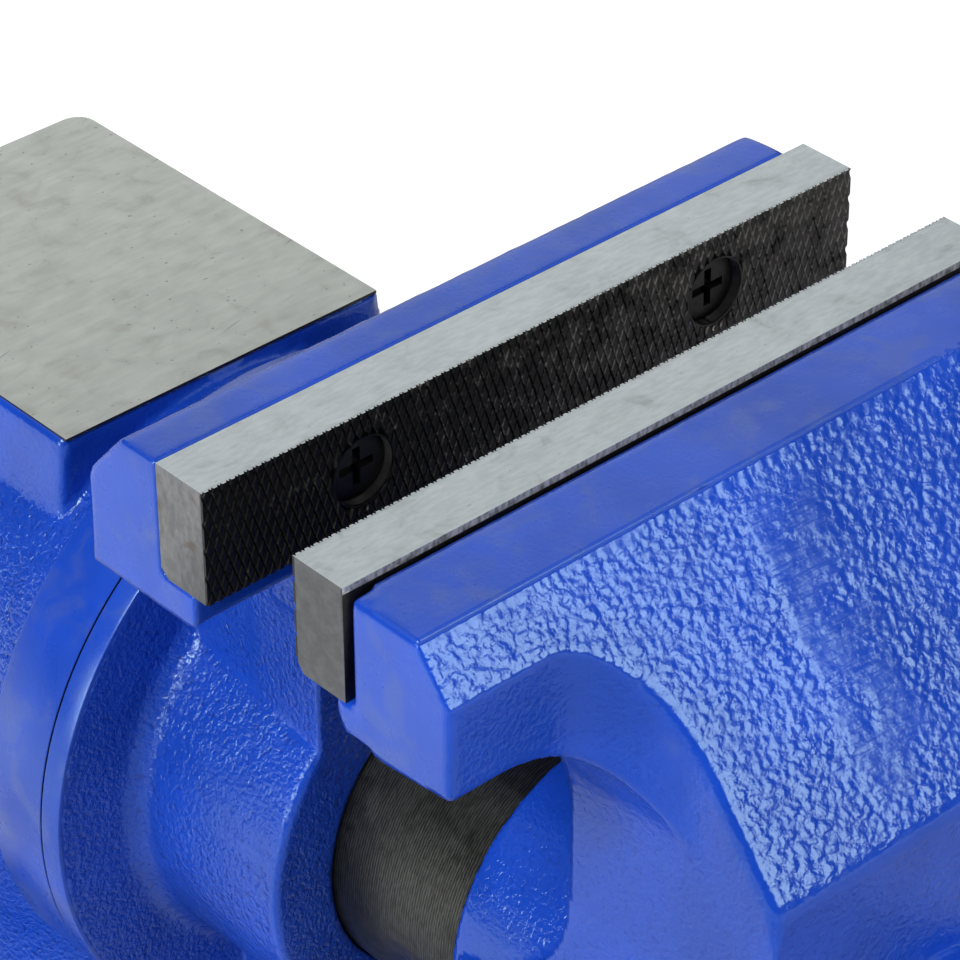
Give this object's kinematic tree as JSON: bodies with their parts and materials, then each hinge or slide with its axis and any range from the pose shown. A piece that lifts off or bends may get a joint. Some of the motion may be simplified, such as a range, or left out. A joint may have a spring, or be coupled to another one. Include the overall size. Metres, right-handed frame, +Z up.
{
  "type": "bench vise",
  "caption": "Swivel bench vise with a rotating head, wide flat jaws above toothed pipe jaws, a round slide bar driven by a screw and sliding handle, a flat anvil and a bolt-down base.",
  "frame": {"origin": "centre of the mounting bolt circle on the bench surface, on the swivel axis", "axes": "+Z up along the swivel axis, +Y back along the clamping axis, +X along the jaws"},
  "size_m": [0.2624, 0.4126, 0.276],
  "materials": {
    "blue_paint": "gloss",
    "bare_steel": "ground",
    "black_steel": "black oxide",
    "bronze": "turned"
  },
  "bodies": {
    "base": {"swivel_base": "blue_paint"},
    "body": {"body": "blue_paint", "lock_bolts": "bare_steel", "lock_washers": "bare_steel", "head_lock_shoe": "bronze"},
    "left_lever": {"left_lock_lever": "bare_steel"},
    "right_lever": {"right_lock_lever": "bare_steel"},
    "head_lock": {"head_lock_lever": "bare_steel"},
    "head": {"rotating_head": "blue_paint", "fixed_jaw_plate": "bare_steel", "fixed_plate_screws": "black_steel", "fixed_pipe_jaw": "black_steel", "fixed_pipe_screws": "black_steel", "guide_key": "bare_steel", "key_screw": "black_steel", "rear_cover": "blue_paint", "cover_screws": "black_steel", "main_nut": "bronze", "nut_screws": "black_steel"},
    "jaw": {"movable_jaw": "blue_paint", "movable_jaw_plate": "bare_steel", "movable_plate_screws": "black_steel", "movable_pipe_jaw": "black_steel", "movable_pipe_screws": "black_steel", "thrust_washer": "bronze"},
    "screw": {"main_screw": "bare_steel", "retaining_collar": "bare_steel", "collar_pin": "black_steel"},
    "handle": {"handle_bar": "bare_steel", "left_handle_cap": "black_steel", "right_handle_cap": "black_steel"}
  },
  "joints": [
    {"name": "base_swivel", "type": "hinge", "parent": "base", "child": "body", "pos_m": [0, 0, 0], "axis": [0, 0, 1], "continuous": true},
    {"name": "left_lever_turn", "type": "hinge", "parent": "body", "child": "left_lever", "pos_m": [-0.074, 0, 0.05], "axis": [0, 0, 1], "range_deg": [-30, 30]},
    {"name": "right_lever_turn", "type": "hinge", "parent": "body", "child": "right_lever", "pos_m": [0.074, 0, 0.05], "axis": [0, 0, 1], "range_deg": [-30, 30]},
    {"name": "head_lock_turn", "type": "hinge", "parent": "body", "child": "head_lock", "pos_m": [0, 0.022, 0.16], "axis": [0.866, 0, -0.5], "range_deg": [-10, 50]},
    {"name": "head_turn", "type": "hinge", "parent": "body", "child": "head", "pos_m": [0, 0, 0.16], "axis": [0, 1, 0], "continuous": true},
    {"name": "jaw_slide", "type": "slide", "parent": "head", "child": "jaw", "axis": [0, -1, 0], "range_m": [-0.0221, 0.1276]},
    {"name": "screw_spin", "type": "hinge", "parent": "jaw", "child": "screw", "pos_m": [0, -0.25, 0.16], "axis": [0, -1, 0], "range_deg": [-1325, 7655]},
    {"name": "handle_slide", "type": "slide", "parent": "screw", "child": "handle", "axis": [1, 0, 0], "range_m": [-0.0895, 0.0895]}
  ],
  "couplings": [
    {"joint": "jaw_slide", "follows": "screw_spin", "m_per_rad": 0.00095493}
  ]
}
